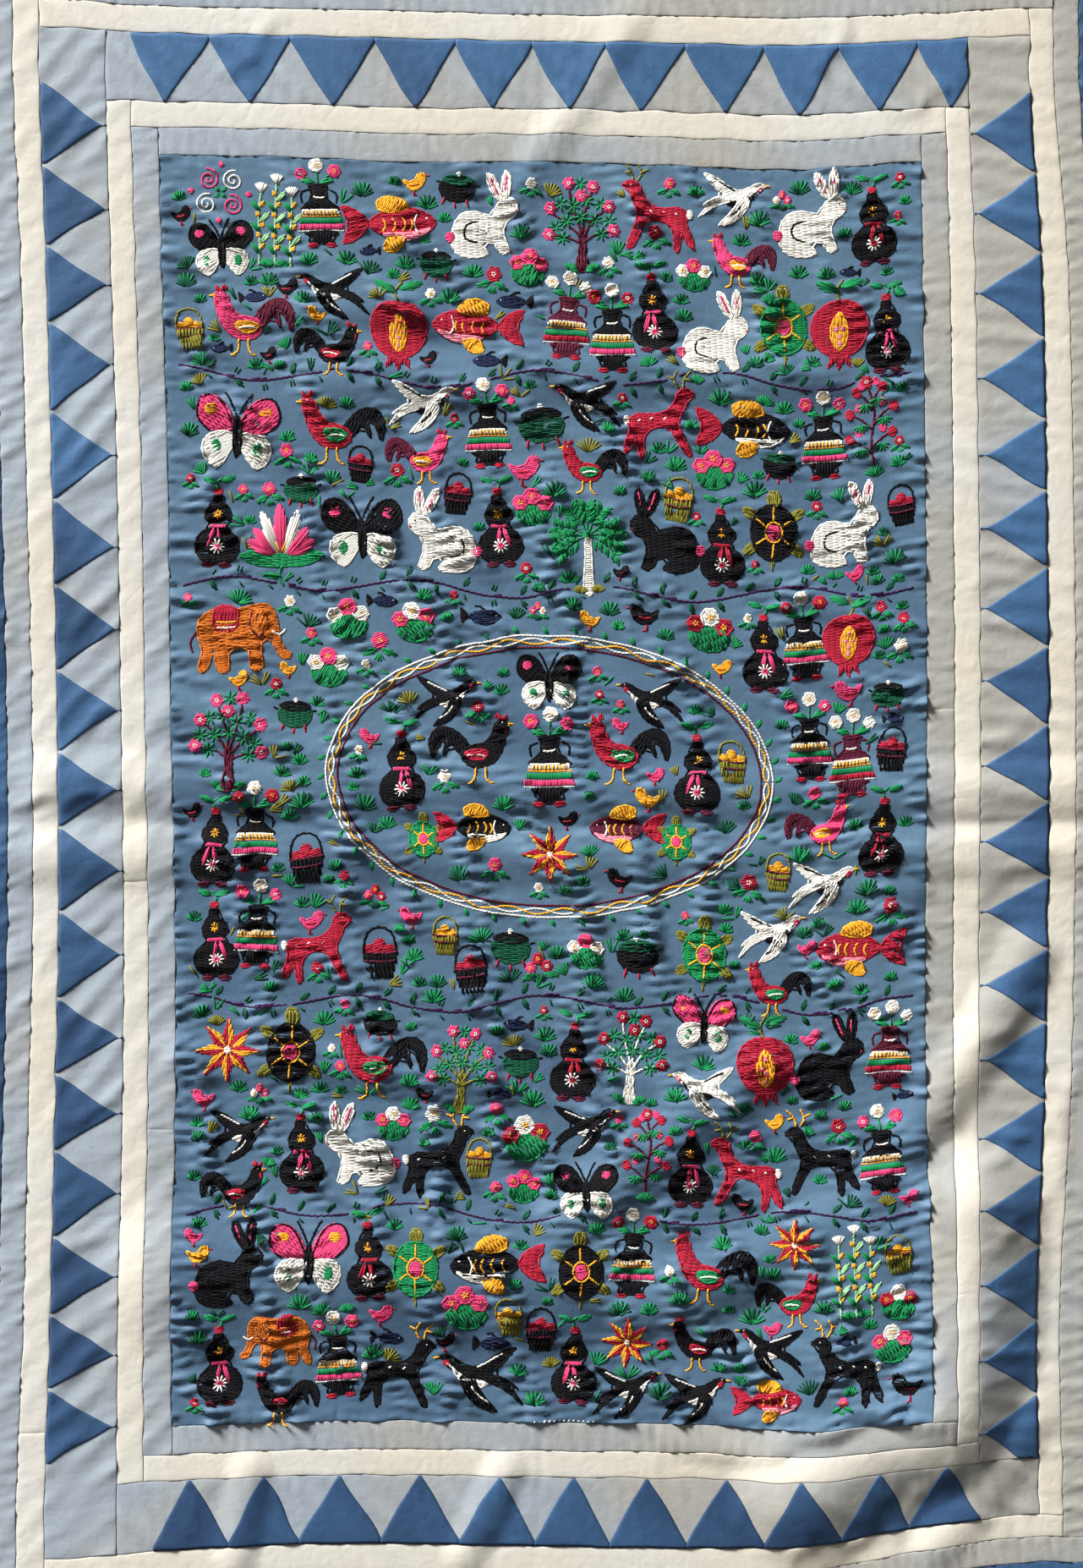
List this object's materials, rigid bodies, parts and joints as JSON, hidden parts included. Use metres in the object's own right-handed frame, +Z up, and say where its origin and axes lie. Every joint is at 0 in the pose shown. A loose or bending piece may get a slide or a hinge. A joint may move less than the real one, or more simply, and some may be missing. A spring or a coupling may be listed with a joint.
{
  "type": "embroidered story cloth",
  "caption": "Rectangular pieced cloth lying face up: an embroidered blue panel framed by grey and cream strips, a band of blue sewn-on teeth and a hemmed blue border.",
  "frame": {"origin": "on the surface that the cloth lies on, under the middle of its outline", "axes": "+Z up out of the cloth's face, +Y towards the top edge of the embroidery, +X to the right"},
  "size_m": [1.1302, 1.6276, 0.024],
  "materials": {
    "blue_cloth": "smooth plain-weave cotton blend with a slight sheen",
    "grey_cloth": "smooth plain-weave cotton blend with a slight sheen",
    "cream_cloth": "smooth plain-weave cotton blend with a slight sheen",
    "embroidery_thread": "glossy embroidery thread in many colours"
  },
  "bodies": {
    "root": {"centre_panel": "blue_cloth", "inner_grey_left": "grey_cloth", "inner_grey_top": "grey_cloth", "inner_grey_right": "grey_cloth", "inner_grey_bottom": "grey_cloth", "inner_cream_left": "cream_cloth", "inner_cream_top": "cream_cloth", "inner_cream_right": "cream_cloth", "inner_cream_bottom": "cream_cloth", "tooth_band_left": "grey_cloth", "tooth_band_top": "grey_cloth", "tooth_band_right": "grey_cloth", "tooth_band_bottom": "grey_cloth", "outer_cream_left": "cream_cloth", "outer_cream_top": "cream_cloth", "outer_cream_right": "cream_cloth", "outer_cream_bottom": "cream_cloth", "outer_grey_left": "grey_cloth", "outer_grey_top": "grey_cloth", "outer_grey_right": "grey_cloth", "outer_grey_bottom": "grey_cloth", "outer_blue_left": "blue_cloth", "outer_blue_top": "blue_cloth", "outer_blue_right": "blue_cloth", "outer_blue_bottom": "blue_cloth"}
  },
  "joints": []
}
